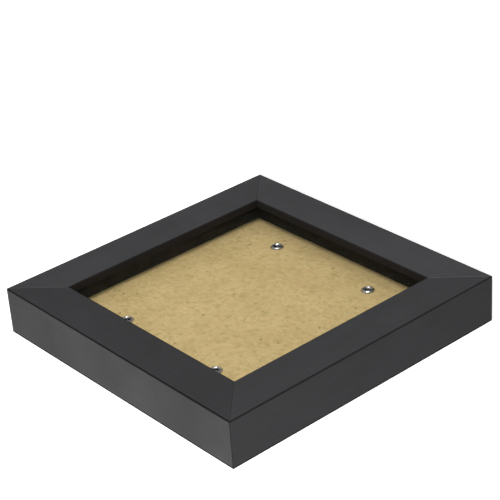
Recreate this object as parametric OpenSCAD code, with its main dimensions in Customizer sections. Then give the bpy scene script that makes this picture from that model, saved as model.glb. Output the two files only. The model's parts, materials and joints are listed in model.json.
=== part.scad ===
// Shadow box: a mitred wooden frame around a shallow display space, glazed in front and closed
// behind by a hardboard panel that four turn buttons lock into a groove in the frame.
// It stands on its bottom rail: X is its width, Y runs from front to back, Z is up.
// The origin is the middle of the base.

/* [Display] */
// Width of the glass, the spacers and the panel's seat in the frame
display_w = 152.4; // [125:0.1:260]
// Height of the glass, the spacers and the panel's seat in the frame
display_h = 152.4; // [125:0.1:260]
// Depth of the space between the glass and the panel
display_d = 8; // [5:0.1:11]

/* [Moulding] */
// Width of the moulding's front face
face_w = 25.4; // [21:0.1:40]
// Depth of the frame, front to back
frame_d = 28.4; // [25:0.1:50]
// How far the lip covers the edge of the glass
lip_w = 6.35; // [3.5:0.05:8]
// Thickness of the lip
lip_t = 4.6; // [3:0.1:6]
// Radius of the softened edges of the moulding
arris_r = 0.6; // [0.2:0.1:1.5]
// Width of the fine line that shows at each mitre
mitre_line_w = 0.3; // [0.1:0.1:0.6]

/* [Glass and spacers] */
// Thickness of the glass
glass_t = 2; // [1:0.1:3]
// Room around the edge of the glass
glass_gap = 0.4; // [0.2:0.1:1]
// Thickness of the spacer strips, across the display
spacer_t = 2.8; // [1.5:0.1:3.4]

/* [Backing panel] */
// Thickness of the hardboard panel
panel_t = 3; // [2:0.1:4]
// Room around the edge of the panel
panel_gap = 0.5; // [0.3:0.1:1]
// Room between the spacers and the panel
panel_rest_gap = 0.3; // [0.3:0.1:0.6]

/* [Turn buttons] */
// Distance from a button's pivot to the top or bottom wall of its seat
pivot_inset = 20; // [16:0.1:26]
// Distance from a button's pivot to the side wall of its seat
pivot_side = 38.5; // [30:0.1:44]
// How far a button's tip reaches into the groove
button_bite = 2.4; // [1.5:0.1:3]
// Thickness of a button
button_t = 1; // [0.8:0.1:1.5]
// Radius of a button's round end, at its pivot
button_root_r = 5; // [4.2:0.1:7]
// Radius of a button's tip
button_tip_r = 3.2; // [2:0.1:4]
// Half the width of the finger rib along a button
rib_r = 1.2; // [0.8:0.1:1.5]
// Height of the finger rib
rib_h = 0.8; // [0.4:0.1:1.2]
// Depth of the groove in the frame beyond a button's tip
groove_end_gap = 0.8; // [0.4:0.1:1.5]
// Room on each side of a button in the groove
groove_side_gap = 0.4; // [0.3:0.1:0.8]

/* [Rivets] */
// Radius of a rivet's shank
shank_r = 2.4; // [2.2:0.05:2.9]
// Radius of the blind hole in a rivet's rolled end
rivet_hole_r = 1.9; // [1.2:0.05:2]
// Depth of the blind hole below the panel's face
rivet_hole_d = 2; // [1:0.1:3]
// Radius of a rivet's rolled end, inside the display
roll_r = 3.55; // [3.2:0.05:4.5]
// Height of a rivet's rolled end
roll_h = 0.9; // [0.5:0.1:1.2]
// Radius of a rivet's head
head_r = 4.2; // [3.6:0.1:4.8]
// Height of a rivet's head
head_h = 1; // [0.6:0.1:1.4]
// Running clearance between a rivet's shank and its button
pivot_clearance = 0.06; // [0.02:0.01:0.1]
// Room above and below a button on its rivet
button_end_play = 0.15; // [0.1:0.05:0.3]
// Thickness of the washer under a button
washer_t = 0.5; // [0.4:0.1:0.8]
// Radius of the washer
washer_r = 4.7; // [3.8:0.1:5]

/* [Corner nails] */
// Length of each leg of a V-nail
v_leg = 5.5; // [4:0.1:6]
// Thickness of a V-nail
v_t = 0.7; // [0.5:0.1:1]
// How deep a V-nail is driven
v_h = 8; // [6:0.5:12]
// Distance from the outside of the frame to the outer V-nail
v_inset = 4; // [3:0.1:5]
// How far a V-nail is set below the back
v_set = 0.3; // [0.1:0.1:0.6]

/* [Hanger] */
// Width of the sawtooth hanger
hanger_w = 46; // [36:1:60]
// Height of the sawtooth hanger
hanger_h = 8; // [7:0.5:9]
// Thickness of the sawtooth hanger
hanger_t = 0.8; // [0.6:0.1:1]
// Distance between neighbouring teeth
tooth_pitch = 2.6; // [2:0.1:3.5]
// Height of a tooth
tooth_h = 1.8; // [1:0.1:2.2]
// Length of each nailed ear of the hanger
ear_w = 7; // [6:0.5:9]
// Height of the opening below the teeth
hook_room = 3.2; // [3:0.1:3.5]
// Depth of the hollow behind the teeth
hook_d = 6; // [4:0.5:8]
// Radius of a nail's shank
nail_r = 0.7; // [0.5:0.05:0.9]
// Length of a nail's shank
nail_l = 10; // [6:0.5:11]
// Radius of a nail's head
nail_head_r = 1.8; // [1.4:0.1:2.2]
// Thickness of a nail's head
nail_head_t = 0.5; // [0.4:0.1:0.6]
// Room between the hanger and the sides of its pocket
pocket_gap = 0.4; // [0.2:0.1:0.8]
// How far the nails' heads sit below the back
pocket_set = 0.1; // [0.05:0.05:0.3]

/* [Hidden] */
$fn = 64;

painted_wood = [0.13, 0.13, 0.135];
spacer_black = [0.08, 0.08, 0.075];
raw_hardboard = [0.72, 0.61, 0.4];
zinc_plate = [0.72, 0.73, 0.75];
clear_glass = [0.8, 0.9, 0.9, 0.3];

// Distance by which a cut runs past the face it opens
past = 1;

// Straight steps in each round end of an outline
arc_steps = 16;

// Back of the moulding: from its outside to the wall of the seat
seat_wall = face_w - lip_w;
frame_w = display_w + 2 * seat_wall;
frame_h = display_h + 2 * seat_wall;
middle_z = frame_h / 2;

// Faces across the depth, as places along Y
front_y = -frame_d / 2;
back_y = frame_d / 2;
glass_y = front_y + lip_t;
spacer_y = glass_y + glass_t;
panel_y = spacer_y + display_d;
panel_back_y = panel_y + panel_t;
button_y = panel_back_y + washer_t + button_end_play;
head_y = button_y + button_t + button_end_play;

// Groove that the turn buttons' tips turn into
groove_y = button_y - groove_side_gap;
groove_w = button_t + 2 * groove_side_gap;
groove_depth = button_bite + groove_end_gap;
button_reach = pivot_inset + button_bite;

// Centres of the finger rib's round ends: from the pivot, and back from the tip
rib_start = button_root_r + 2 * rib_r;
rib_end = 2 * button_bite + rib_r;

// Wood left between the outside of the frame and the bottom of the groove
solid_w = seat_wall - groove_depth;
v_end_gap = 0.8;
v_second = solid_w - v_end_gap - v_leg;

// Pocket for the hanger, in the back of the top rail
pocket_d = hanger_t + nail_head_t + pocket_set;
pocket_w = hanger_w + 2 * pocket_gap;
pocket_h = hanger_h + hook_room + pocket_gap;
pocket_top_z = frame_h - (seat_wall - pocket_h) / 2;
hanger_top_z = pocket_top_z - pocket_gap;
hanger_y = back_y - pocket_d;
hook_w = hanger_w - 2 * ear_w;
nail_x = hanger_w / 2 - ear_w / 2;
nail_z = hanger_top_z - hanger_h / 2;

pivot_x = display_w / 2 - pivot_side;
pivot_z = display_h / 2 - pivot_inset;

// The four pivots: side is -1 at the left and 1 at the right, level is 1 at the top and -1 below
module at_pivot(side, level) {
    translate([side * pivot_x, 0, middle_z + level * pivot_z]) children();
}

module at_every_pivot() {
    for (side = [-1, 1], level = [-1, 1]) at_pivot(side, level) children();
}

// Turns a shape drawn in XY and raised along Z into one drawn in XZ and raised along Y
module along_y(y) {
    translate([0, y, 0]) rotate([90, 0, 0]) mirror([0, 0, 1]) children();
}

// ---------------------------------------------------------------- moulding

// What rounding takes from a square corner at the origin
module arris_cut() {
    difference() {
        translate([-past, -past]) square(arris_r + past);
        translate([arris_r, arris_r]) circle(r = arris_r);
    }
}

// Section of the moulding: first the distance from the outside, then from the front
module moulding_section() {
    difference() {
        square([face_w, frame_d]);
        translate([seat_wall, lip_t]) square([lip_w + past, frame_d]);
        translate([seat_wall - groove_depth, groove_y - front_y])
            square([groove_depth + past, groove_w]);
        arris_cut();
        translate([face_w, 0]) mirror([1, 0]) arris_cut();
        translate([0, frame_d]) mirror([0, 1]) arris_cut();
        translate([seat_wall, frame_d]) rotate(180) arris_cut();
    }
}

// Half of the fine line along a mitre, cut across the corner from the outside to the sight edge
module mitre_line(length) {
    translate([-length / 2, front_y, 0]) rotate([0, -45, 0]) rotate([45, 0, 0])
        translate([-past, -mitre_line_w / sqrt(8), -mitre_line_w / sqrt(8)])
            cube([2 * face_w, mitre_line_w / sqrt(2), mitre_line_w / sqrt(2)]);
}

// The softened upright edge at a corner of the frame
module corner_arris(length) {
    translate([-length / 2, 0, 0]) rotate([0, 45, 0])
        cube([arris_r, 2 * frame_d, arris_r], center = true);
}

// One length of moulding along X, with its outside at Z = 0 and mitred at both ends
module rail(length) {
    difference() {
        intersection() {
            translate([-length / 2, front_y, 0]) rotate([90, 0, 90]) linear_extrude(length)
                mirror([1, 0]) rotate(90) moulding_section();
            along_y(-frame_d) linear_extrude(2 * frame_d) polygon([
                [-length / 2, 0], [length / 2, 0],
                [length / 2 - face_w, face_w], [-length / 2 + face_w, face_w]]);
        }
        for (end = [0, 1]) mirror([end, 0, 0]) {
            mitre_line(length);
            corner_arris(length);
        }
    }
}

module place_bottom() { children(); }
module place_top() { translate([0, 0, frame_h]) rotate([0, 180, 0]) children(); }
module place_left() { translate([-frame_w / 2, 0, middle_z]) rotate([0, 90, 0]) children(); }
module place_right() { translate([frame_w / 2, 0, middle_z]) rotate([0, -90, 0]) children(); }

module bottom_rail() {
    color(painted_wood) difference() {
        place_bottom() rail(frame_w);
        v_nails();
    }
}

module top_rail() {
    color(painted_wood) difference() {
        place_top() rail(frame_w);
        v_nails();
        hanger_pocket();
        nails();
    }
}

module left_rail() {
    color(painted_wood) difference() {
        place_left() rail(frame_h);
        v_nails();
    }
}

module right_rail() {
    color(painted_wood) difference() {
        place_right() rail(frame_h);
        v_nails();
    }
}

// ------------------------------------------------------------ corner nails

// One V-nail, its point on the mitre at a distance from the outside of the frame
module v_nail(inset) {
    along_y(back_y - v_set - v_h) linear_extrude(v_h) translate([inset, inset]) {
        square([v_leg, v_t]);
        square([v_t, v_leg]);
    }
}

module v_nails() {
    for (side = [0, 1], level = [0, 1], inset = [v_inset, v_second])
        translate([0, 0, middle_z]) mirror([side, 0, 0]) mirror([0, 0, level])
            translate([-frame_w / 2, 0, -frame_h / 2]) v_nail(inset);
}

module corner_v_nails() { color(zinc_plate) v_nails(); }

// ------------------------------------------------------- glass and spacers

module glazing_pane() {
    color(clear_glass) translate([0, glass_y + glass_t / 2, middle_z])
        cube([display_w - 2 * glass_gap, glass_t, display_h - 2 * glass_gap], center = true);
}

// A spacer strip centred on x and z, reaching from the glass to the panel
module spacer(x, z, w, h) {
    color(spacer_black) translate([x - w / 2, spacer_y, z - h / 2])
        cube([w, display_d - panel_rest_gap, h]);
}

spacer_x = (display_w - spacer_t) / 2;
spacer_z = (display_h - spacer_t) / 2;
spacer_side_h = display_h - 2 * spacer_t;
module spacer_top() { spacer(0, middle_z + spacer_z, display_w, spacer_t); }
module spacer_bottom() { spacer(0, middle_z - spacer_z, display_w, spacer_t); }
module spacer_left() { spacer(-spacer_x, middle_z, spacer_t, spacer_side_h); }
module spacer_right() { spacer(spacer_x, middle_z, spacer_t, spacer_side_h); }

// ----------------------------------------------------------- backing panel

module backing_panel() {
    color(raw_hardboard) difference() {
        translate([0, panel_y + panel_t / 2, middle_z])
            cube([display_w - 2 * panel_gap, panel_t, display_h - 2 * panel_gap], center = true);
        at_every_pivot() along_y(panel_y - past) cylinder(r = shank_r, h = panel_t + 2 * past);
    }
}

// ------------------------------------------------- turn buttons and rivets

// Points on an arc about [x, 0], from one angle to another
function arc(x, r, from, to) = [for (i = [0:arc_steps])
    let (a = from + (to - from) * i / arc_steps) [x + r * cos(a), r * sin(a)]];

// A bar along +X with a round end about [x1, 0] and another about [x2, 0]
module round_bar(x1, r1, x2, r2) {
    tangent = acos((r1 - r2) / (x2 - x1));
    polygon(concat(arc(x1, r1, tangent, 360 - tangent), arc(x2, r2, -tangent, tangent)));
}

// A button turned out of the groove: it lies along the panel and points to its own side
module turn_button(side, level) {
    color(zinc_plate) at_pivot(side, level) mirror([side < 0 ? 1 : 0, 0, 0])
        along_y(button_y) difference() {
            union() {
                linear_extrude(button_t)
                    round_bar(0, button_root_r, button_reach - button_tip_r, button_tip_r);
                linear_extrude(button_t + rib_h)
                    round_bar(rib_start, rib_r, button_reach - rib_end, rib_r);
            }
            translate([0, 0, -past])
                cylinder(r = shank_r + pivot_clearance, h = button_t + 2 * past);
        }
}

module turn_button_top_left() { turn_button(-1, 1); }
module turn_button_top_right() { turn_button(1, 1); }
module turn_button_bottom_left() { turn_button(-1, -1); }
module turn_button_bottom_right() { turn_button(1, -1); }

// A rivet's outline beside its axis: round the rolled end, up the shank, over the domed head and
// back down the blind hole
module rivet_profile() {
    roll_mid = (rivet_hole_r + roll_r) / 2;
    roll_half = (roll_r - rivet_hole_r) / 2;
    shank_l = head_y - panel_y;
    head_step = 11.25;
    hole_point = 0.4;
    polygon([
        for (a = [180:-15:0]) [roll_mid + roll_half * cos(a), -roll_h * sin(a)],
        [shank_r, 0],
        [shank_r, shank_l],
        for (a = [0:head_step:90]) [head_r * cos(a), shank_l + head_h * sin(a)],
        [0, rivet_hole_d + hole_point],
        [rivet_hole_r, rivet_hole_d]]);
}

module rivet(side, level) {
    color(zinc_plate) at_pivot(side, level) along_y(panel_y) rotate_extrude() rivet_profile();
}

module rivet_top_left() { rivet(-1, 1); }
module rivet_top_right() { rivet(1, 1); }
module rivet_bottom_left() { rivet(-1, -1); }
module rivet_bottom_right() { rivet(1, -1); }

module button_washers() {
    color(zinc_plate) at_every_pivot() along_y(panel_back_y) difference() {
        cylinder(r = washer_r, h = washer_t);
        translate([0, 0, -past]) cylinder(r = shank_r, h = washer_t + 2 * past);
    }
}

// ------------------------------------------------------------------ hanger

// Shallow pocket for the hanger, and the deeper hollow that a wall hook goes into
module hanger_pocket() {
    translate([-pocket_w / 2, back_y - pocket_d, pocket_top_z - pocket_h])
        cube([pocket_w, pocket_d + past, pocket_h]);
    translate([-hook_w / 2, back_y - hook_d, pocket_top_z - pocket_h])
        cube([hook_w, hook_d + past, pocket_h - pocket_gap - hanger_h / 4]);
}

module sawtooth_hanger() {
    teeth = floor((hook_w - tooth_pitch) / tooth_pitch);
    color(zinc_plate) along_y(hanger_y) linear_extrude(hanger_t) difference() {
        translate([-hanger_w / 2, hanger_top_z - hanger_h]) square([hanger_w, hanger_h]);
        for (i = [0:teeth - 1])
            translate([(i - (teeth - 1) / 2) * tooth_pitch, hanger_top_z - hanger_h]) polygon([
                [-tooth_pitch / 2, -past], [-tooth_pitch / 2, 0], [0, tooth_h],
                [tooth_pitch / 2, 0], [tooth_pitch / 2, -past]]);
        for (side = [-1, 1]) translate([side * nail_x, nail_z]) circle(r = nail_r);
    }
}

module nails() {
    for (side = [-1, 1]) translate([side * nail_x, 0, nail_z]) {
        along_y(hanger_y + hanger_t) cylinder(r = nail_head_r, h = nail_head_t);
        along_y(hanger_y + hanger_t - nail_l) cylinder(r = nail_r, h = nail_l);
    }
}

module hanger_nails() { color(zinc_plate) nails(); }

top_rail();
bottom_rail();
left_rail();
right_rail();
corner_v_nails();
glazing_pane();
spacer_top();
spacer_bottom();
spacer_left();
spacer_right();
backing_panel();
turn_button_top_left();
turn_button_top_right();
turn_button_bottom_left();
turn_button_bottom_right();
rivet_top_left();
rivet_top_right();
rivet_bottom_left();
rivet_bottom_right();
button_washers();
sawtooth_hanger();
hanger_nails();
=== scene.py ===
import json
import math

import bmesh
import bpy
from bpy.props import FloatProperty, FloatVectorProperty, PointerProperty
from mathutils import Matrix, Vector


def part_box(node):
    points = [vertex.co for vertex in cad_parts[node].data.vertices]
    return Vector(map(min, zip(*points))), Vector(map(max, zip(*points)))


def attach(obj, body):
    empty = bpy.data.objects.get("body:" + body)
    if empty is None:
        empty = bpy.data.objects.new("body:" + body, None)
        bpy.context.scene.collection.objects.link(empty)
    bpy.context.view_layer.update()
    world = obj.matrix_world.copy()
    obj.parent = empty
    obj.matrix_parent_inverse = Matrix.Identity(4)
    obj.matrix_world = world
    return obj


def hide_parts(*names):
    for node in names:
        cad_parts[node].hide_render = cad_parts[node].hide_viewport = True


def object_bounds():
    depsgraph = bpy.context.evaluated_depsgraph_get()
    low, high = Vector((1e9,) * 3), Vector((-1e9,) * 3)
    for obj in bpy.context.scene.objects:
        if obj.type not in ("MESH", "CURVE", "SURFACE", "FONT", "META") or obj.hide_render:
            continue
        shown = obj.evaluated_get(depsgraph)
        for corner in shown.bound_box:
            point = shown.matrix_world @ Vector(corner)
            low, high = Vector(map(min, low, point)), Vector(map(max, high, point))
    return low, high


bl_info = {
    "name": "Shadow Box Workshop",
    "version": (1, 0, 0),
    "blender": (4, 5, 0),
    "location": "3D View > Sidebar > Shadow Box",
    "description": "Makes and finishes the pieces of a mitred shadow box around its fixed frame",
    "category": "Object",
}

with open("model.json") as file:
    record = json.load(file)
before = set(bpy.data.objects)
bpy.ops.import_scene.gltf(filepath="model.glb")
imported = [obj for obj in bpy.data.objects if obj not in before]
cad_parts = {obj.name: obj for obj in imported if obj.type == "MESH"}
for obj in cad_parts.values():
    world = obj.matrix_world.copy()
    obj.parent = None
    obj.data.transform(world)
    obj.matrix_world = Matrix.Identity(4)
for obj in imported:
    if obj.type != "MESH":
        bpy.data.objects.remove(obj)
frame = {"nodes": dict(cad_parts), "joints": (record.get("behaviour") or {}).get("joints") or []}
cad_low, cad_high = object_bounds()

MM = 0.001
X, Y, Z = range(3)
TOUCH = 0.01 * MM            # points nearer than this lie together
DRILL_LENGTH = 10 * MM       # longer than any piece is thick

# Each rail's grain, and how much of its paint and sheen it keeps: painted shade that makes lit and shaded
# copies of one paint, the top rail darkest and the bottom rail brightest
RAIL_GRAIN_AND_SHADE = {"top_rail": (X, 0.68), "bottom_rail": (X, 1),
                 "left_rail": (Z, 0.8), "right_rail": (Z, 0.88)}
SPACERS = ("spacer_top", "spacer_bottom", "spacer_left", "spacer_right")
# The pieces at the top right are the models for those at the other corners
COPY_CORNERS = ("top_left", "bottom_left", "bottom_right")

# Place of each light, and the side of its square
LIGHTS = {"key": ((-0.2, -1.55, 0.4), 0.7), "left": ((-1.45, 0.35, 0.1), 1.0),
          "top": ((0.9, 0.65, 1.35), 0.8), "back": ((0.5, 1.5, 0.7), 1.2)}
# How high in the room its light is dimmest and brightest, and its share of the strength there
ROOM_LIGHT = {"Min": (-0.3, 0.55), "Max": (0.9, 1.5)}

# Places that the finishes and the pieces share, all read from the frame
middle_z = (cad_low.z + cad_high.z) / 2
seat_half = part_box("spacer_right")[1].x
sight_half = cad_high.x - (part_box("top_rail")[1].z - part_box("top_rail")[0].z)
panel_low, panel_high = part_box("backing_panel")
button_low, button_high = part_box("turn_button_top_right")
hanger_low, hanger_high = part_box("sawtooth_hanger")
pivots = {joint["child"]: Vector(joint["pos_m"]) for joint in frame["joints"]
          if joint["type"] == "hinge"}
model_pivot = pivots["button_top_right"]


# ---------------------------------------------------------------- settings

def length(name, description, millimetres):
    """A length that a user may change, given in millimetres"""
    return FloatProperty(name=name, description=description, default=millimetres * MM, min=0,
                         precision=5, unit="LENGTH", subtype="DISTANCE")


def colour(name, description, red, green, blue):
    """A colour that a user may change"""
    return FloatVectorProperty(name=name, description=description, default=(red, green, blue),
                               size=3, min=0, max=1, subtype="COLOR")


def share(name, description, default):
    """A number from 0 to 1 that a user may change"""
    return FloatProperty(name=name, description=description, default=default, min=0, max=1,
                         subtype="FACTOR")


def power(name, description, watts):
    """A light's power"""
    return FloatProperty(name=name, description=description, default=watts, min=0, unit="POWER")


class ShadowBoxPaint(bpy.types.PropertyGroup):
    """Finish of the moulding and of the spacer strips"""
    black: colour("Paint", "Satin black paint on the moulding", 0.026, 0.026, 0.028)
    # Arris: the darkest paint, laid as a dark line along each softened edge and mixed into the clouding
    arris: colour("Arris", "Paint along the softened edges, where it lies thickest", 0.002, 0.002, 0.0022)
    arris_width: length("Arris width", "Width of the darker line along each softened edge", 0.8)
    # Spacer: matt black paint whose brown cast is painted bounce light from the board; inside the lip the
    # rail paint is mixed toward it as painted shade
    spacer: colour("Spacer", "Matt black paint on the spacer strips, and thicker inside the lip",
                   0.019, 0.0115, 0.0055)
    dust: colour("Dust", "Specks of dust on the spacer strips", 0.3, 0.28, 0.24)
    strip_edge: length("Strip edge", "Rounding along the edges of the spacer strips", 0.25)
    pine: colour("Pine", "Bare softwood in the groove and in the hanger's pocket", 0.56, 0.37, 0.19)
    late_wood: colour("Late wood", "Darker rings of the bare softwood", 0.38, 0.20, 0.08)
    roughness: share("Roughness", "Roughness of the satin paint", 0.46)
    gloss: share("Gloss", "Specular level of the satin paint", 0.4)


class ShadowBoxBoard(bpy.types.PropertyGroup):
    """Sizes and finish of the hardboard backing"""
    straw: colour("Face", "Smooth face of the hardboard", 0.36, 0.273, 0.124)
    fibre: colour("Fibre", "Darker fibres and mottling of the hardboard", 0.26, 0.19, 0.072)
    fleck: colour("Fleck", "Sparse dark flecks of bark", 0.10, 0.07, 0.03)
    pale: colour("Pale fibre", "Bleached fibres of the hardboard", 0.43, 0.34, 0.175)
    olive: colour("Olive", "Greenish smudges of the hardboard", 0.21, 0.17, 0.07)
    rosy: colour("Rosy", "Reddish patches of the hardboard", 0.38, 0.245, 0.125)
    # Soiled and shaded: crushed fibres, darkened also as a painted contact shadow where each rivet's
    # rolled end meets the board
    soiled: colour("Soiled", "Crushed and soiled fibres round each rivet", 0.05, 0.04, 0.025)
    rough_side: colour("Rough side", "Back of the hardboard, pressed on a wire screen", 0.30, 0.19, 0.08)
    edge: length("Eased edge", "Bevel along the edges of the panel", 0.3)
    mesh_pitch: length("Screen pitch", "Pitch of the screen pattern pressed into the back", 1.15)


class ShadowBoxGlass(bpy.types.PropertyGroup):
    """Sizes and finish of the glazing pane"""
    tint: colour("Tint", "Faint green of the glass", 0.02, 0.03, 0.026)
    ground: colour("Ground edge", "Deeper green of the ground edges", 0.10, 0.24, 0.17)
    alpha: share("Cover", "How much of the light each face of the pane holds back", 0.05)
    seam: length("Seamed edge", "Bevel ground along the edges of the pane", 0.35)


class ShadowBoxHardware(bpy.types.PropertyGroup):
    """Sizes and finish of the rivets, turn buttons, washers, hanger and nails"""
    zinc: colour("Zinc", "Zinc plate on the stamped pieces", 0.60, 0.61, 0.635)
    spangle: colour("Spangle", "Darker crystals of the zinc", 0.42, 0.43, 0.46)
    handled: colour("Handled zinc", "Yellowed patches of the zinc", 0.47, 0.44, 0.36)
    bloom: colour("Bloom", "White bloom on the zinc", 0.8, 0.8, 0.8)
    bright: colour("Rivet steel", "Bright plate on the rivets", 0.74, 0.73, 0.72)
    scuffed: colour("Scuffed plate", "Dull scuffs on the rivets", 0.42, 0.41, 0.40)
    ringed: colour("Ringed plate", "Fine rings that the riveting tool leaves", 0.5, 0.5, 0.5)
    # Tarnish and shade: a near black that stands in both for tarnish and for the shade in the rivet's
    # deep groove
    tarnish: colour("Tarnish", "Tarnish in the blind hole", 0.02, 0.018, 0.016)
    steel: colour("Nail steel", "Plain steel of the nails", 0.48, 0.48, 0.49)
    scale: colour("Mill scale", "Dark scale on the nails", 0.27, 0.27, 0.28)
    rust: colour("Rust", "Specks of rust on the nails", 0.22, 0.09, 0.035)
    shank: length("Shank radius", "Radius of a rivet's shank", 2.4)
    roll: length("Roll radius", "Radius of a rivet's rolled end", 3.55)
    hole: length("Hole radius", "Radius of the blind hole in the rolled end", 1.9)
    hole_depth: length("Hole depth", "Depth of the blind hole below the panel's face", 1.4)
    core: length("Core height", "Height of the domed core in the blind hole", 1.3)
    head: length("Head height", "Height of a rivet's domed head", 1)
    button: length("Button thickness", "Thickness of a turn button's sheet", 1)
    tip: length("Button tip radius", "Radius of a turn button's tip", 3.2)
    rib: length("Rib half width", "Half the width of the finger rib", 1.2)
    rib_start: length("Rib start", "From the pivot to the first end of the rib", 6.2)
    rib_end: length("Rib end", "From the tip to the far end of the rib", 4.8)
    clearance: length("Pivot clearance", "Running clearance round a rivet's shank", 0.06)
    burr: length("Eased edge", "Rounding of the stamped edges", 0.18)
    tooth_pitch: length("Tooth pitch", "Distance between the hanger's teeth", 2.6)
    tooth_height: length("Tooth height", "Height of a tooth of the hanger", 1.8)
    nail: length("Nail radius", "Radius of a hanger nail's shank", 0.7)
    nail_head: length("Nail head", "Thickness of a hanger nail's head", 0.5)


class ShadowBoxStage(bpy.types.PropertyGroup):
    """Floor, lights and camera"""
    floor: length("Floor", "Side of the square floor", 60000)
    glow: share("Floor glow", "Light that the floor gives off, which keeps it white", 0.5)
    key: power("Key light", "Power of the front light", 28.2)
    left: power("Left light", "Power of the light that grazes the left side", 22)
    top: power("Top light", "Power of the light over the back of the box", 6.3)
    back: power("Back light", "Power of the light behind the box", 15)
    ambient: FloatProperty(name="Ambient", description="Strength of the even light of the room",
                           default=0.4, min=0)
    camera: FloatVectorProperty(name="Camera", description="Place of the camera", size=3,
                                default=(-0.6229, -0.4742, 0.6062), unit="LENGTH", subtype="XYZ")
    target: FloatVectorProperty(name="Target", description="Point that the camera looks at", size=3,
                                default=(0.0463, 0, 0.0528), unit="LENGTH", subtype="XYZ")
    roll: FloatProperty(name="Roll", description="Turn of the camera about its line of sight",
                        default=math.radians(-4.156), unit="ROTATION", subtype="ANGLE")
    lens: FloatProperty(name="Lens", description="Focal length in millimetres", default=121.1, min=1)


class ShadowBoxSettings(bpy.types.PropertyGroup):
    """All that a user may change"""
    paint: PointerProperty(type=ShadowBoxPaint)
    board: PointerProperty(type=ShadowBoxBoard)
    glass: PointerProperty(type=ShadowBoxGlass)
    hardware: PointerProperty(type=ShadowBoxHardware)
    stage: PointerProperty(type=ShadowBoxStage)


def settings():
    """The scene's settings"""
    return bpy.context.scene.shadow_box


# --------------------------------------------------------------- modelling

def work_on(piece):
    """Selects one piece alone and makes it active"""
    bpy.ops.object.select_all(action="DESELECT")
    piece.select_set(True)
    bpy.context.view_layer.objects.active = piece


def new_piece(name):
    """Names the primitive that was just added, and puts its place and size into its mesh"""
    piece = bpy.context.active_object
    piece.name = name
    bpy.ops.object.transform_apply(location=True, rotation=True, scale=True)
    return piece


def add_block(name, low, high):
    """A cube that fills a box"""
    bpy.ops.object.select_all(action="DESELECT")
    bpy.ops.mesh.primitive_cube_add(size=1, location=(low + high) / 2)
    bpy.context.active_object.scale = high - low
    return new_piece(name)


def add_disc(name, centre, radius, steps, fill="NOTHING"):
    """A circle about Y"""
    bpy.ops.object.select_all(action="DESELECT")
    bpy.ops.mesh.primitive_circle_add(vertices=steps, radius=radius, fill_type=fill, location=centre,
                                      rotation=(math.pi / 2, 0, 0))
    return new_piece(name)


def choose(piece, kind, rule):
    """In edit mode, selects only the vertices, edges or faces that a rule picks"""
    bpy.ops.mesh.select_mode(type=kind)
    bpy.ops.mesh.select_all(action="DESELECT")
    shape = bmesh.from_edit_mesh(piece.data)
    items = {"VERT": shape.verts, "EDGE": shape.edges, "FACE": shape.faces}[kind]
    for item in [item for item in items if rule(item)]:
        item.select_set(True)
    shape.select_flush_mode()
    bmesh.update_edit_mesh(piece.data)


def begin(piece):
    """Opens a piece in edit mode with all of it selected"""
    work_on(piece)
    bpy.ops.object.mode_set(mode="EDIT")
    bpy.ops.mesh.select_mode(type="VERT")
    bpy.ops.mesh.select_all(action="SELECT")


def close_up():
    """Merges what lies together, turns all faces outwards and leaves edit mode"""
    bpy.ops.mesh.select_all(action="SELECT")
    bpy.ops.mesh.remove_doubles(threshold=0.2 * TOUCH)
    bpy.ops.mesh.normals_make_consistent(inside=False)
    bpy.ops.object.mode_set(mode="OBJECT")


def widen(centre, across, upright):
    """Scales what is selected about a centre, across along X and upright along Z"""
    bpy.ops.transform.resize(value=(across, 1, upright), center_override=centre)


def add_turned(name, centre, outline, steps=48):
    """A piece turned about Y, ring by ring. The outline is pairs of a radius and a place along Y;
    an open end is drawn to a point, and an outline that comes back to its start makes a ring."""
    (first_r, first_y), (last_r, last_y) = outline[0], outline[-1]
    piece = add_disc(name, centre + Vector((0, first_y, 0)), first_r, steps)
    begin(piece)
    for (from_r, from_y), (to_r, to_y) in zip(outline, outline[1:]):
        bpy.ops.mesh.extrude_edges_move(TRANSFORM_OT_translate={"value": (0, to_y - from_y, 0)})
        widen(centre + Vector((0, to_y, 0)), to_r / from_r, to_r / from_r)
    if outline[0] != outline[-1]:
        for radius, y in ((first_r, first_y), (last_r, last_y)):
            place = centre + Vector((0, y, 0))
            choose(piece, "VERT", lambda v: abs((v.co - place).length - radius) < 0.01 * radius
                   and abs(v.co.y - place.y) < 0.1 * TOUCH)
            bpy.ops.mesh.merge(type="CENTER")
    close_up()
    return piece


def arc(centre, radius, height, start, end, steps):
    """Radius and Y pairs along a part of an ellipse, from a start to an end in degrees"""
    angles = [math.radians(start + (end - start) * i / steps) for i in range(steps + 1)]
    return [(centre[0] + radius * math.cos(a), centre[1] + height * math.sin(a)) for a in angles]


def ease_edges(width, angle=30, segments=2):
    """Bevels the edges of the active piece that are sharper than an angle in degrees"""
    modifier = bpy.context.active_object.modifiers.new("eased edges", "BEVEL")
    modifier.width = width
    modifier.segments = segments
    modifier.limit_method = "ANGLE"
    modifier.angle_limit = math.radians(angle)
    modifier.use_clamp_overlap = True
    bpy.ops.object.modifier_apply(modifier=modifier.name)


def combine(piece, tool, operation):
    """Cuts a tool from a piece or joins it on, and takes the tool away"""
    work_on(piece)
    modifier = piece.modifiers.new("worked", "BOOLEAN")
    modifier.operation = operation
    modifier.solver = "EXACT"
    modifier.object = tool
    bpy.ops.object.modifier_apply(modifier=modifier.name)
    bpy.data.objects.remove(tool)


def drill(piece, centre, radius, steps=48):
    """Drills a hole along Y through a piece"""
    bpy.ops.object.select_all(action="DESELECT")
    bpy.ops.mesh.primitive_cylinder_add(vertices=steps, radius=radius, depth=DRILL_LENGTH,
                                        location=centre, rotation=(math.pi / 2, 0, 0))
    combine(piece, new_piece("drill"), "DIFFERENCE")


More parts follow.
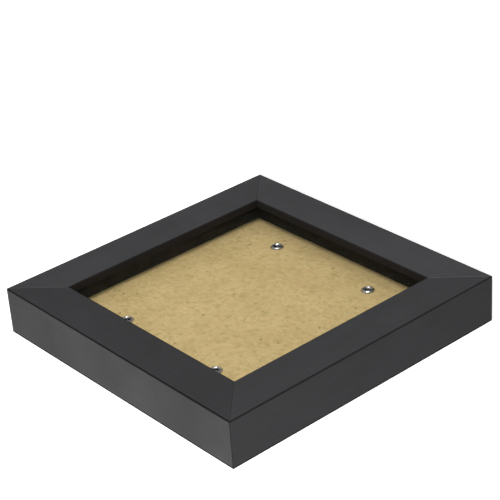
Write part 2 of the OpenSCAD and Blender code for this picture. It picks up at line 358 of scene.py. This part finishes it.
def copy_piece(piece, name, flip, to):
    """A copy of a model piece with its own mesh, moved from the model's pivot to another, after a
    half turn about Y if flip is set"""
    work_on(piece)
    bpy.ops.object.duplicate(linked=False)
    copy = bpy.context.active_object
    copy.name = name
    if flip:
        bpy.ops.transform.rotate(value=math.pi, orient_axis="Y", center_override=model_pivot)
    bpy.ops.transform.translate(value=to - model_pivot)
    bpy.ops.object.transform_apply(location=True, rotation=True, scale=True)
    return copy


def at_each_corner(model, name, turned=False):
    """Each corner with its piece: copies of the model at the other pivots, given a half turn on the
    left if turned is set. The model comes last, since a copy would take over its body and node."""
    for corner in COPY_CORNERS:
        flip = turned and "left" in corner
        yield corner, copy_piece(model, name.format(corner), flip, pivots["button_" + corner])
    yield "top_right", model


def finish_piece(piece, body, node, material):
    """Smooths a piece, gives it its material, ties it to its body and hides the frame's node that it
    stands for
    """
    work_on(piece)
    bpy.ops.object.shade_smooth_by_angle(angle=math.radians(35))
    piece.data.materials.clear()
    piece.data.materials.append(material)
    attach(piece, body)
    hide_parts(node)


def coat_node(node, material):
    """Gives a piece of the fixed frame its material"""
    piece = frame["nodes"][node]
    if not piece.material_slots:
        piece.data.materials.append(material)
    for slot in piece.material_slots:
        slot.material = material


# --------------------------------------------------------------- materials

class Finish:
    """A material built step by step around its Principled shader. Sizes are in metres."""

    def __init__(self, name):
        self.material = bpy.data.materials.new(name)
        self.material.use_nodes = True
        self.tree = self.material.node_tree
        self.shader = self.tree.nodes["Principled BSDF"]
        coordinates = self.tree.nodes.new("ShaderNodeTexCoord")
        self.place = coordinates.outputs["Object"]
        self.normal = coordinates.outputs["Normal"]

    def join(self, socket, value):
        """Feeds a socket from another one, or sets it"""
        if isinstance(value, bpy.types.NodeSocket):
            self.tree.links.new(value, socket)
        else:
            socket.default_value = value

    def set(self, **values):
        """Sets or feeds the shader's sockets, named with _ for a space"""
        for name, value in values.items():
            self.join(self.shader.inputs[name.replace("_", " ")], value)

    def sum(self, operation, *values):
        """Arithmetic on numbers"""
        node = self.tree.nodes.new("ShaderNodeMath")
        node.operation = operation
        for socket, value in zip(node.inputs, values):
            self.join(socket, value)
        return node.outputs[0]

    def times(self, first, second):
        """The product of two numbers"""
        return self.sum("MULTIPLY", first, second)

    def minus(self, first, second):
        """The first number less the second"""
        return self.sum("SUBTRACT", first, second)

    def size_of(self, value):
        """A number without its sign"""
        return self.sum("ABSOLUTE", value)

    def parts(self, vector):
        """The X, Y and Z of a vector"""
        node = self.tree.nodes.new("ShaderNodeSeparateXYZ")
        self.join(node.inputs[0], vector)
        return node.outputs

    def stretched(self, stretch):
        """Object coordinates scaled along each axis"""
        if tuple(stretch) == (1, 1, 1):
            return self.place
        node = self.tree.nodes.new("ShaderNodeVectorMath")
        node.operation = "MULTIPLY"
        self.join(node.inputs[0], self.place)
        self.join(node.inputs[1], stretch)
        return node.outputs[0]

    def noise(self, size, detail=3, roughness=0.5, stretch=(1, 1, 1), swirl=0):
        """Cloudy noise from 0 to 1"""
        node = self.tree.nodes.new("ShaderNodeTexNoise")
        self.join(node.inputs["Vector"], self.stretched(stretch))
        for name, value in (("Scale", 1 / size), ("Detail", detail), ("Roughness", roughness),
                            ("Distortion", swirl)):
            self.join(node.inputs[name], value)
        return node.outputs["Fac"]

    def cells(self, size, output="Distance"):
        """Distance from the nearest of scattered points, or that point's own random colour"""
        node = self.tree.nodes.new("ShaderNodeTexVoronoi")
        self.join(node.inputs["Vector"], self.place)
        self.join(node.inputs["Scale"], 1 / size)
        return node.outputs[output]

    def ramp(self, value, low, high, start=0, end=1):
        """A value drawn out from low and high to start and end, and held beyond them"""
        node = self.tree.nodes.new("ShaderNodeMapRange")
        node.interpolation_type = "SMOOTHSTEP"
        for socket, number in zip(node.inputs, (value, low, high, start, end)):
            self.join(socket, number)
        return node.outputs[0]

    def between(self, value, low, high):
        """1 where a value lies between two others, and 0 elsewhere"""
        return self.times(self.sum("GREATER_THAN", value, low), self.sum("LESS_THAN", value, high))

    def mix(self, amount, first, second):
        """Blends two colours"""
        node = self.tree.nodes.new("ShaderNodeMix")
        node.data_type = "RGBA"
        for index, value in ((0, amount), (6, first), (7, second)):
            plain = not isinstance(value, (int, float, bpy.types.NodeSocket))
            self.join(node.inputs[index], (*value, 1) if plain and len(value) == 3 else value)
        return node.outputs[2]

    def bump(self, height, depth, onto=None):
        """A bump whose height from 0 to 1 stands for a depth"""
        node = self.tree.nodes.new("ShaderNodeBump")
        self.join(node.inputs["Height"], height)
        self.join(node.inputs["Distance"], depth)
        if onto is not None:
            self.join(node.inputs["Normal"], onto)
        return node.outputs[0]

    def from_pivot(self):
        """Distance from the axis of the nearest rivet"""
        x, _, z = self.parts(self.place)
        across = self.minus(self.size_of(x), model_pivot.x)
        upright = self.minus(self.size_of(self.minus(z, middle_z)), model_pivot.z - middle_z)
        squares = self.sum("ADD", self.times(across, across), self.times(upright, upright))
        return self.sum("SQRT", squares)

    def near(self, width, first, second):
        """1 where both distances are well under a width, and 0 beyond it"""
        return self.ramp(self.sum("MAXIMUM", first, second), 1.15 * width, 0.7 * width)


def bare_pine(look, mix, stretch):
    """Colour of freshly cut softwood, its rings drawn out along the grain"""
    rings = mix.sum("FRACT", mix.times(mix.noise(9 * MM, 2, 0.4, stretch, 0.4), 9))
    late = mix.ramp(rings, 0.55, 0.95)
    fibres = mix.noise(0.35 * MM, 3, 0.6, stretch)
    wood = mix.mix(late, look.pine, look.late_wood)
    return mix.mix(mix.ramp(fibres, 0.35, 0.8, 0, 0.35), wood, look.late_wood)


def satin_paint(name, grain, tone):
    """Satin black paint on softwood whose grain runs along an axis; bare where it was milled last. The
    tone darkens the paint and scales its sheen, as painted shade.
    """
    look = settings().paint
    mix = Finish(name)
    stretch = [1.0, 1.0, 1.0]
    stretch[grain] = 0.05
    ridges = mix.noise(1.5 * MM, 4, 0.55, stretch, 0.5)
    pores = mix.noise(0.45 * MM, 2, 0.5, stretch)
    peel = mix.noise(0.9 * MM, 2)
    cloud = mix.noise(45 * MM, 3)
    worn = mix.noise(3.5 * MM, 4, 0.65)
    x, y, z = mix.parts(mix.place)
    reach = mix.sum("MAXIMUM", mix.size_of(x), mix.size_of(mix.minus(z, middle_z)))
    from_front = mix.minus(y, cad_low.y)
    from_back = mix.minus(cad_high.y, y)
    from_outside = mix.minus(cad_high.x, reach)
    from_sight = mix.size_of(mix.minus(reach, sight_half))

    # The groove for the turn buttons, and the pocket and hollow behind the hanger
    skin, margin = 0.05 * MM, 0.6 * MM
    groove_depth, groove_width, hollow_drop = 4 * MM, 1.6 * MM, 3.4 * MM
    groove = mix.times(mix.between(reach, seat_half + skin, seat_half + groove_depth),
                       mix.between(y, button_low.y - margin, button_low.y + groove_width))
    pocket = mix.times(mix.between(y, 0, cad_high.y - 3 * skin),
                       mix.between(z, hanger_low.z - hollow_drop, hanger_high.z + margin))
    pocket = mix.times(pocket, mix.between(x, hanger_low.x - margin, hanger_high.x + margin))
    milled = mix.sum("MAXIMUM", groove, pocket)

    # Colour: clouded paint, darker along the arrises, darkened per rail and inside the lip as painted
    # shade, rubbed thin in spots behind
    width = look.arris_width
    arris = mix.near(width, from_outside, from_front)
    arris = mix.sum("MAXIMUM", arris, mix.near(width, from_sight, from_front))
    arris = mix.sum("MAXIMUM", arris, mix.near(1.6 * width, from_outside, from_back))
    inside = mix.between(reach, 0, sight_half + 2 * skin)
    thick = mix.mix(mix.ramp(cloud, 0.3, 0.7, 0, 0.22), look.black, look.arris)
    painted = mix.mix(mix.ramp(ridges, 0.35, 0.75, 0, 0.16), thick, look.arris)
    painted = mix.mix(mix.times(arris, 0.9), painted, look.arris)
    # Painted shade: each rail is darkened toward black by its own tone, standing in for the light falling
    # unevenly across the box
    painted = mix.mix(1 - tone, painted, (0, 0, 0))
    # Painted shade: inside the lip the paint is mixed toward the darker spacer colour, standing in for
    # the shade of the recess
    painted = mix.mix(inside, painted, mix.mix(0.75, look.spacer, look.arris))
    behind = mix.ramp(mix.parts(mix.normal)[1], 0.5, 0.95)
    rubbed = mix.times(mix.times(behind, arris), mix.ramp(worn, 0.6, 0.75))
    wood = bare_pine(look, mix, stretch)
    painted = mix.mix(mix.times(rubbed, 0.45), painted, wood)
    mix.set(Base_Color=mix.mix(milled, painted, wood))

    # Gloss: satin, with softer patches where hands have polished or dulled it
    rough = mix.ramp(cloud, 0.25, 0.75, look.roughness - 0.05, look.roughness + 0.07)
    rough = mix.sum("ADD", rough, mix.ramp(peel, 0.3, 0.7, 0, 0.04))
    rough = mix.sum("ADD", rough, mix.times(mix.sum("MAXIMUM", arris, inside), 0.5))
    mix.set(Roughness=mix.sum("MAXIMUM", rough, mix.times(milled, 0.8)))
    # Painted sheen: the specular level follows the rail's tone, so each rail keeps its own share of the
    # highlights
    mix.shader.inputs["Specular IOR Level"].default_value = tone * look.gloss
    grain_bump = mix.bump(ridges, 0.035 * MM)
    pore_bump = mix.bump(pores, 0.012 * MM, grain_bump)
    mix.set(Normal=mix.bump(peel, 0.012 * MM, pore_bump))
    return mix.material


def spacer_paint():
    """Matt black paint on sawn strips, with the saw's fine lines under it"""
    look = settings().paint
    mix = Finish("matt_spacer_paint")
    saw = mix.noise(0.5 * MM, 2, 0.5, (1, 0.08, 1))
    cloud = mix.noise(12 * MM, 4)
    dust = mix.ramp(mix.cells(1.7 * MM), 0.1, 0.04)
    dust = mix.times(dust, mix.ramp(cloud, 0.5, 0.6))
    # The spacer colour carries a brown cast of painted bounce light from the board
    base = mix.mix(mix.ramp(cloud, 0.3, 0.7, 0, 0.5), look.spacer, look.arris)
    mix.set(Base_Color=mix.mix(mix.times(dust, 0.12), base, look.dust))
    mix.set(Roughness=mix.ramp(saw, 0.3, 0.7, 0.74, 0.88))
    mix.shader.inputs["Specular IOR Level"].default_value = 0.16
    mix.set(Normal=mix.bump(saw, 0.03 * MM))
    return mix.material


def hardboard():
    """Raw hardboard: smooth and mottled in front, pressed on a wire screen behind"""
    look = settings().board
    mix = Finish("raw_hardboard")
    x, y, z = mix.parts(mix.place)
    cloud = mix.noise(26 * MM, 5, 0.55)
    mottle = mix.noise(4.2 * MM, 4, 0.6, swirl=0.8)
    smudge = mix.noise(2.3 * MM, 3, 0.55, (0.75, 1, 1), 0.5)
    fibres_x = mix.noise(1.1 * MM, 2, 0.5, (0.25, 1, 1), 0.6)
    fibres_z = mix.noise(1.0 * MM, 2, 0.5, (1, 1, 0.22), 0.8)
    fibres = mix.sum("MAXIMUM", fibres_x, fibres_z)
    speck = mix.cells(5.2 * MM)
    which = mix.parts(mix.cells(5.2 * MM, "Color"))[0]

    base = mix.mix(mix.ramp(cloud, 0.35, 0.68, 0, 0.45), look.straw, look.fibre)
    base = mix.mix(mix.ramp(mottle, 0.45, 0.66, 0, 0.5), base, look.fibre)
    base = mix.mix(mix.ramp(smudge, 0.53, 0.68, 0, 0.5), base, look.olive)
    base = mix.mix(mix.ramp(smudge, 0.46, 0.32, 0, 0.3), base, look.pale)
    base = mix.mix(mix.ramp(fibres, 0.55, 0.72, 0, 0.25), base, look.fibre)
    warm = mix.noise(7 * MM, 3, 0.5, (1, 1, 1.3))
    base = mix.mix(mix.ramp(warm, 0.5, 0.66, 0, 0.3), base, look.rosy)
    clean = 0.55    # share of the specks that are left out
    size = mix.ramp(which, clean, 1, 0.05, 0.22)
    fleck = mix.times(mix.sum("GREATER_THAN", which, clean),
                      mix.ramp(mix.sum("DIVIDE", speck, size), 1, 0.35))
    base = mix.mix(mix.times(fleck, 0.75), base, look.fleck)

    # Pressed and soiled fibres round each rivet, darkened also as a painted contact shadow where the
    # rolled end meets the board
    roll = settings().hardware.roll
    crushed_and_shaded = mix.ramp(mix.from_pivot(), roll + 0.75 * MM, roll + 0.25 * MM)
    base = mix.mix(mix.times(crushed_and_shaded, 0.8), base, look.soiled)

    # The back is darker and carries the screen's pattern, its hollows darkened as painted shade
    back = mix.ramp(y, panel_high.y - 0.35 * MM, panel_high.y - 0.1 * MM)
    turns = 2 * math.pi / look.mesh_pitch
    weave = mix.times(mix.sum("SINE", mix.times(x, turns)), mix.sum("SINE", mix.times(z, turns)))
    dimples = mix.ramp(weave, -0.6, 0.8)
    base = mix.mix(mix.times(back, 0.5), base, look.rough_side)
    # Painted shade: the hollows of the screen pattern are darkened toward the fleck colour
    hollow_shade = mix.times(mix.minus(1, dimples), back)
    mix.set(Base_Color=mix.mix(mix.times(hollow_shade, 0.35), base, look.fleck))
    mix.set(Roughness=mix.ramp(mottle, 0.3, 0.8, 0.72, 0.86))
    mix.shader.inputs["Specular IOR Level"].default_value = 0.12
    skin = mix.bump(smudge, 0.03 * MM)
    mix.set(Normal=mix.bump(mix.times(dimples, back), 0.22 * MM, skin))
    return mix.material


def clear_glass():
    """Thin clear glass, greener at its ground edges"""
    look = settings().glass
    mix = Finish("clear_glass")
    facing = mix.size_of(mix.parts(mix.normal)[1])
    edge = mix.ramp(facing, 0.9, 0.5)
    mix.set(Base_Color=mix.mix(edge, look.tint, look.ground))
    wiped = mix.noise(14 * MM, 4, 0.6, (1, 1, 0.4), 1.2)
    mix.set(Roughness=mix.sum("MAXIMUM", mix.ramp(wiped, 0.5, 0.8, 0.02, 0.05),
                              mix.times(edge, 0.45)))
    mix.shader.inputs["Alpha"].default_value = look.alpha
    return mix.material


def zinc_plate(name="zinc_plate", streaks=(0.06, 1, 1)):
    """Zinc plate over stamped sheet: faint spangle, rolling streaks and dull rubbed spots"""
    look = settings().hardware
    mix = Finish(name)
    spangle = mix.parts(mix.cells(2.2 * MM, "Color"))[1]
    rolled = mix.noise(0.22 * MM, 3, 0.55, streaks)
    dull = mix.noise(4.5 * MM, 4, 0.6)
    white = mix.ramp(mix.noise(1.6 * MM, 4, 0.6), 0.62, 0.8)
    tone = mix.mix(mix.ramp(spangle, 0, 1, 0, 0.28), look.zinc, look.spangle)
    tone = mix.mix(mix.ramp(dull, 0.5, 0.75, 0, 0.3), tone, look.handled)
    mix.set(Base_Color=mix.mix(mix.times(white, 0.2), tone, look.bloom))
    rough = mix.sum("ADD", mix.ramp(dull, 0.3, 0.75, 0.24, 0.44), mix.ramp(rolled, 0.3, 0.7, 0, 0.1))
    mix.set(Roughness=rough)
    mix.shader.inputs["Metallic"].default_value = 1
    mix.set(Normal=mix.bump(rolled, 0.012 * MM))
    return mix.material


def rivet_plate():
    """Bright plate with the fine rings that the riveting tool leaves about each axis"""
    look = settings().hardware
    mix = Finish("bright_rivet_plate")
    radius = mix.from_pivot()
    rings = mix.sum("SINE", mix.times(radius, 2 * math.pi / (0.28 * MM)))
    scuffs = mix.noise(0.5 * MM, 4, 0.65, swirl=1.5)
    tone = mix.mix(mix.ramp(scuffs, 0.45, 0.75, 0, 0.4), look.bright, look.scuffed)
    tone = mix.mix(mix.ramp(rings, 0.2, 1, 0, 0.12), tone, look.ringed)

    # Tarnish and painted shade in the blind hole, round its domed core: the deep groove is darkened to
    # stand in for its shade
    depth = mix.ramp(mix.parts(mix.place)[1], panel_low.y - 0.45 * MM, panel_low.y + 0.3 * MM)
    hollow = mix.times(mix.ramp(radius, 0.9 * MM, 1.35 * MM), mix.ramp(radius, 2.2 * MM, 2 * MM))
    tarnish = mix.times(mix.times(depth, hollow), 0.92)
    mix.set(Base_Color=mix.mix(tarnish, tone, look.tarnish))
    mix.set(Roughness=mix.ramp(scuffs, 0.3, 0.75, 0.16, 0.36))
    mix.shader.inputs["Metallic"].default_value = 1
    ringed = mix.bump(rings, 0.006 * MM)
    mix.set(Normal=mix.bump(scuffs, 0.03 * MM, ringed))
    return mix.material


def nail_steel():
    """Plain steel with a dark scale and specks of rust"""
    look = settings().hardware
    mix = Finish("plain_nail_steel")
    scale = mix.noise(0.9 * MM, 4, 0.6)
    rust = mix.ramp(mix.noise(1.8 * MM, 5, 0.7), 0.6, 0.72)
    tone = mix.mix(mix.ramp(scale, 0.35, 0.7), look.steel, look.scale)
    mix.set(Base_Color=mix.mix(mix.times(rust, 0.6), tone, look.rust))
    mix.set(Roughness=mix.ramp(scale, 0.3, 0.7, 0.34, 0.55))
    mix.set(Metallic=mix.ramp(rust, 0, 1, 1, 0.3))
    mix.set(Normal=mix.bump(scale, 0.02 * MM))
    return mix.material


# --------------------------------------------------------------- operators

class SHADOWBOX_OT_paint_rails(bpy.types.Operator):
    """Paints the four mitred rails, with the grain along each, and finishes the corner nails"""
    bl_idname = "shadow_box.paint_rails"
    bl_label = "Paint Rails"

    def execute(self, context):
        for node, (grain, tone) in RAIL_GRAIN_AND_SHADE.items():
            coat_node(node, satin_paint("satin_black_" + node, grain, tone))
        coat_node("corner_v_nails", nail_steel())
        return {"FINISHED"}


class SHADOWBOX_OT_make_spacers(bpy.types.Operator):
    """Makes the four spacer strips with eased edges"""
    bl_idname = "shadow_box.make_spacers"
    bl_label = "Make Spacers"

    def execute(self, context):
        paint = spacer_paint()
        for node in SPACERS:
            strip = add_block(node + "_strip", *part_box(node))
            ease_edges(settings().paint.strip_edge)
            finish_piece(strip, "frame", node, paint)
        return {"FINISHED"}


class SHADOWBOX_OT_make_glass(bpy.types.Operator):
    """Makes the glazing pane with seamed edges"""
    bl_idname = "shadow_box.make_glass"
    bl_label = "Make Glass"

    def execute(self, context):
        pane = add_block("glazing_sheet", *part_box("glazing_pane"))
        ease_edges(settings().glass.seam, segments=1)
        finish_piece(pane, "frame", "glazing_pane", clear_glass())
        return {"FINISHED"}


class SHADOWBOX_OT_make_panel(bpy.types.Operator):
    """Makes the hardboard panel with its eased edges and rivet holes"""
    bl_idname = "shadow_box.make_panel"
    bl_label = "Make Panel"

    def execute(self, context):
        panel = add_block("hardboard_panel", panel_low, panel_high)
        ease_edges(settings().board.edge)
        centre_y = (panel_low.y + panel_high.y) / 2
        for pivot in pivots.values():
            drill(panel, (pivot.x, centre_y, pivot.z), settings().hardware.shank)
        finish_piece(panel, "backing", "backing_panel", hardboard())
        return {"FINISHED"}


class SHADOWBOX_OT_make_rivets(bpy.types.Operator):
    """Turns a tubular rivet with its rolled end crimped over the board, and copies it to each pivot"""
    bl_idname = "shadow_box.make_rivets"
    bl_label = "Make Rivets"

    def execute(self, context):
        size = settings().hardware
        low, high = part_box("rivet_top_right")
        centre = Vector((model_pivot.x, 0, model_pivot.z))
        face, head_y = panel_low.y, high.y - size.head
        roll_height = face - low.y
        roll_mid, roll_half = (size.roll + size.hole) / 2, (size.roll - size.hole) / 2
        head_r = (high.x - low.x) / 2
        bottom = face + size.hole_depth

        # From the core out over the rolled end, down the shank and round the head
        near_axis = 84    # degrees, where a dome's arc stops short of the axis
        core_r, step, tuck, rim = 0.97 * size.hole, 0.05 * MM, 0.1 * MM, 0.15 * MM
        outline = arc((0, bottom), core_r, -size.core, near_axis, 0, 8)
        outline += [(size.hole, bottom - step)]
        outline += arc((roll_mid, face), roll_half, roll_height, 180, 360, 14)
        outline += [(size.roll - tuck, face), (size.shank, face), (size.shank, head_y),
                    (head_r - rim, head_y)]
        outline += arc((head_r - rim, head_y + rim), rim, rim, -90, 0, 3)
        outline += arc((0, head_y + 2 * rim), head_r, size.head - 2 * rim, 0, near_axis, 10)
        rivet = add_turned("rivet_top_right_turned", centre, outline)

        # Eight shallow crimps round the rolled end
        crimps, half_width, drawn_in = 8, 0.05, 0.965
        begin(rivet)

        def in_crimp(vertex):
            offset = vertex.co - centre
            turn = math.atan2(offset.z, offset.x) * crimps / (2 * math.pi)
            return (vertex.co.y < face - step and math.hypot(offset.x, offset.z) > roll_mid
                    and abs(turn - round(turn)) < half_width)
        choose(rivet, "VERT", in_crimp)
        widen(centre, drawn_in, drawn_in)
        close_up()

        plate = rivet_plate()
        for corner, made in at_each_corner(rivet, "rivet_{}_turned"):
            finish_piece(made, "backing", "rivet_" + corner, plate)
        return {"FINISHED"}


class SHADOWBOX_OT_make_buttons(bpy.types.Operator):
    """Stamps a turn button with its finger rib and pivot hole, and copies it to each pivot"""
    bl_idname = "shadow_box.make_buttons"
    bl_label = "Make Turn Buttons"

    def round_bar(self, name, first, first_r, second, second_r, height, steps):
        """A plate along +X with two round ends, raised along +Y"""
        plate = add_disc(name, first, first_r, steps, "NGON")
        begin(plate)
        tangent = math.acos((first_r - second_r) / (second - first).length)
        choose(plate, "VERT", lambda v: v.co.x - first.x > first_r * math.cos(tangent) - TOUCH)
        widen(first, second_r / first_r, second_r / first_r)
        bpy.ops.transform.translate(value=second - first)
        bpy.ops.mesh.select_all(action="SELECT")
        bpy.ops.mesh.extrude_region_move(TRANSFORM_OT_translate={"value": (0, height, 0)})
        close_up()
        return plate

    def execute(self, context):
        size = settings().hardware
        root = Vector((model_pivot.x, button_low.y, model_pivot.z))
        root_r = (button_high.z - button_low.z) / 2
        tip = Vector((button_high.x - size.tip, root.y, root.z))
        button = self.round_bar("turn_button_top_right_stamped", root, root_r, tip, size.tip,
                                size.button, 64)
        work_on(button)
        ease_edges(size.burr, 40)

        # The rib starts inside the sheet, and tapers by a hair so that its two ends stay apart
        sunk, taper = 0.3 * size.button, 0.999
        rib_first = root + Vector((size.rib_start + size.rib, sunk, 0))
        rib_second = Vector((button_high.x - size.rib_end - size.rib, rib_first.y, root.z))
        rib_height = button_high.y - rib_first.y
        rib = self.round_bar("finger_rib", rib_first, size.rib, rib_second, size.rib * taper,
                             rib_height, 32)
        work_on(rib)
        ease_edges(0.5 * size.rib, 40, 4)
        combine(button, rib, "UNION")
        drill(button, root + Vector((0, size.button / 2, 0)), size.shank + size.clearance)

        plate = zinc_plate("zinc_plate_buttons")
        for corner, made in at_each_corner(button, "turn_button_{}_stamped", turned=True):
            finish_piece(made, "button_" + corner, "turn_button_" + corner, plate)
        return {"FINISHED"}


class SHADOWBOX_OT_make_washers(bpy.types.Operator):
    """Turns a washer with rounded edges and copies it under each turn button"""
    bl_idname = "shadow_box.make_washers"
    bl_label = "Make Washers"

    def execute(self, context):
        size = settings().hardware
        low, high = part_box("button_washers")
        centre = Vector((model_pivot.x, 0, model_pivot.z))
        outer_r = high.x - model_pivot.x
        ease = 0.12 * MM
        outline = [(size.shank, low.y), (outer_r - ease, low.y), (outer_r, low.y + ease),
                   (outer_r, high.y - ease), (outer_r - ease, high.y), (size.shank + ease, high.y),
                   (size.shank, high.y - ease), (size.shank, low.y)]
        washer = add_turned("washer_top_right", centre, outline)
        plate = zinc_plate("zinc_plate_washers", (1, 1, 1))
        for _, made in at_each_corner(washer, "washer_{}"):
            finish_piece(made, "backing", "button_washers", plate)
        return {"FINISHED"}


class SHADOWBOX_OT_make_hanger(bpy.types.Operator):
    """Stamps the sawtooth hanger and drives its two nails"""
    bl_idname = "shadow_box.make_hanger"
    bl_label = "Make Hanger"

    def execute(self, context):
        size = settings().hardware
        nails_low, nails_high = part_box("hanger_nails")
        nail_head_r = (nails_high.z - nails_low.z) / 2
        nail_x = nails_high.x - nail_head_r
        nail_z = (nails_high.z + nails_low.z) / 2

        # The plate is cut across at each tip and hollow, and every second cut is pushed up
        plate = add_block("sawtooth_plate", hanger_low, hanger_high)
        begin(plate)
        ear = hanger_high.x - nail_x
        teeth = math.floor((2 * (hanger_high.x - 2 * ear) - size.tooth_pitch) / size.tooth_pitch)
        places = [(i - teeth) * size.tooth_pitch / 2 for i in range(2 * teeth + 1)]
        for x in places:
            bpy.ops.mesh.select_all(action="SELECT")
            bpy.ops.mesh.bisect(plane_co=(x, 0, 0), plane_no=(1, 0, 0))
        peaks = places[1::2]
        choose(plate, "VERT", lambda v: abs(v.co.z - hanger_low.z) < TOUCH
               and min(abs(v.co.x - x) for x in peaks) < TOUCH)
        bpy.ops.transform.translate(value=(0, 0, size.tooth_height))
        close_up()
        sheared_edge = 0.1 * MM
        ease_edges(sheared_edge, 25, 1)
        for side in (-1, 1):
            drill(plate, (side * nail_x, hanger_low.y, nail_z), size.nail, 24)
        finish_piece(plate, "frame", "sawtooth_hanger", zinc_plate("zinc_plate_hanger"))

        # Each nail has a blunt point and a flat head with a low dome
        near_axis = 82    # degrees, where the dome's arc stops short of the axis
        blunt, point, rim, shoulder = 0.1 * MM, 1.6 * MM, 0.12 * MM, 0.2 * MM
        head_y = nails_high.y - size.nail_head
        outline = [(blunt, nails_low.y), (size.nail, nails_low.y + point), (size.nail, head_y),
                   (nail_head_r - blunt, head_y), (nail_head_r, head_y + rim)]
        outline += arc((0, head_y + shoulder), nail_head_r, size.nail_head - shoulder, 0, near_axis, 7)
        steel = nail_steel()
        for side, word in ((-1, "left"), (1, "right")):
            nail = add_turned("hanger_nail_" + word, Vector((side * nail_x, 0, nail_z)), outline, 32)
            finish_piece(nail, "frame", "hanger_nails", steel)
        return {"FINISHED"}


class SHADOWBOX_OT_set_stage(bpy.types.Operator):
    """Sets the floor, the soft lights and the camera"""
    bl_idname = "shadow_box.set_stage"
    bl_label = "Set Stage"

    def lay_floor(self, stage):
        """A pale floor, bright enough to stay white"""
        bpy.ops.object.select_all(action="DESELECT")
        bpy.ops.mesh.primitive_plane_add(size=stage.floor)
        floor = new_piece("floor")
        mix = Finish("pale_floor")
        mix.set(Base_Color=(0.9, 0.9, 0.9, 1), Roughness=0.9, Emission_Color=(1, 1, 1, 1))
        mix.shader.inputs["Emission Strength"].default_value = stage.glow
        floor.data.materials.append(mix.material)
        floor.visible_glossy = False

    def hang_light(self, name, place, power, side):
        """A square soft light that shines at the middle of the box"""
        bpy.ops.object.light_add(type="AREA", location=place)
        light = bpy.context.active_object
        light.name = name
        light.data.energy = power
        light.data.shape = "SQUARE"
        light.data.size = side
        aim = Vector((0, 0, middle_z)) - light.location
        light.rotation_euler = aim.to_track_quat("-Z", "Y").to_euler()
        light.visible_camera = False

    def fill_room(self, stage):
        """An even room that looks white and gives a soft light, stronger from above"""
        world = bpy.data.worlds.new("pale_room")
        bpy.context.scene.world = world
        world.use_nodes = True
        nodes, links = world.node_tree.nodes, world.node_tree.links
        seen = nodes["Background"]
        seen.inputs["Color"].default_value = (1, 1, 1, 1)
        given = nodes.new("ShaderNodeBackground")
        given.inputs["Color"].default_value = (0.98, 0.99, 1, 1)
        direction = nodes.new("ShaderNodeTexCoord")
        height = nodes.new("ShaderNodeSeparateXYZ")
        strength = nodes.new("ShaderNodeMapRange")
        links.new(direction.outputs["Generated"], height.inputs[0])
        links.new(height.outputs["Z"], strength.inputs["Value"])
        for end, (level, part) in ROOM_LIGHT.items():
            strength.inputs["From " + end].default_value = level
            strength.inputs["To " + end].default_value = part * stage.ambient
        links.new(strength.outputs[0], given.inputs["Strength"])
        path = nodes.new("ShaderNodeLightPath")
        mixed = nodes.new("ShaderNodeMixShader")
        links.new(path.outputs["Is Camera Ray"], mixed.inputs[0])
        links.new(given.outputs[0], mixed.inputs[1])
        links.new(seen.outputs[0], mixed.inputs[2])
        links.new(mixed.outputs[0], nodes["World Output"].inputs["Surface"])

    def place_camera(self, stage):
        """A long lens that looks across the face of the box, front upwards"""
        bpy.ops.object.camera_add(location=stage.camera)
        camera = bpy.context.active_object
        camera.name = "camera"
        camera.data.lens = stage.lens
        back = (Vector(stage.camera) - Vector(stage.target)).normalized()
        right = Vector((0, -1, 0)).cross(back).normalized()
        level = Matrix((right, back.cross(right), back)).transposed()
        camera.rotation_euler = (level @ Matrix.Rotation(stage.roll, 3, "Z")).to_euler()
        bpy.context.scene.camera = camera

    def execute(self, context):
        stage = settings().stage
        self.lay_floor(stage)
        for name, (place, side) in LIGHTS.items():
            self.hang_light(name + "_light", place, getattr(stage, name), side)
        self.fill_room(stage)
        self.place_camera(stage)
        context.scene.view_settings.view_transform = "Standard"
        return {"FINISHED"}


class SHADOWBOX_PT_workshop(bpy.types.Panel):
    """Lists the operators in the order that they are used"""
    bl_idname = "SHADOWBOX_PT_workshop"
    bl_label = "Shadow Box"
    bl_space_type = "VIEW_3D"
    bl_region_type = "UI"
    bl_category = "Shadow Box"

    def draw(self, context):
        for step in STEPS:
            self.layout.operator(step.bl_idname)
        for group in SETTINGS_GROUPS:
            values = getattr(context.scene.shadow_box, group)
            box = self.layout.box()
            box.label(text=group.title())
            for name in values.__annotations__:
                box.prop(values, name)


STEPS = (SHADOWBOX_OT_set_stage, SHADOWBOX_OT_paint_rails, SHADOWBOX_OT_make_spacers,
         SHADOWBOX_OT_make_glass, SHADOWBOX_OT_make_panel, SHADOWBOX_OT_make_rivets,
         SHADOWBOX_OT_make_buttons, SHADOWBOX_OT_make_washers, SHADOWBOX_OT_make_hanger)
SETTINGS_GROUPS = ("paint", "board", "glass", "hardware", "stage")
CLASSES = (ShadowBoxPaint, ShadowBoxBoard, ShadowBoxGlass, ShadowBoxHardware, ShadowBoxStage,
           ShadowBoxSettings, *STEPS, SHADOWBOX_PT_workshop)


def register():
    """Registers the classes and gives each scene its settings"""
    for item in CLASSES:
        bpy.utils.register_class(item)
    bpy.types.Scene.shadow_box = PointerProperty(type=ShadowBoxSettings)


def unregister():
    """Takes the settings and the classes away again"""
    del bpy.types.Scene.shadow_box
    for item in reversed(CLASSES):
        bpy.utils.unregister_class(item)


def main():
    """Runs every step in order"""
    register()
    for step in STEPS:
        group, name = step.bl_idname.split(".")
        getattr(getattr(bpy.ops, group), name)()


if __name__ == "__main__":
    main()
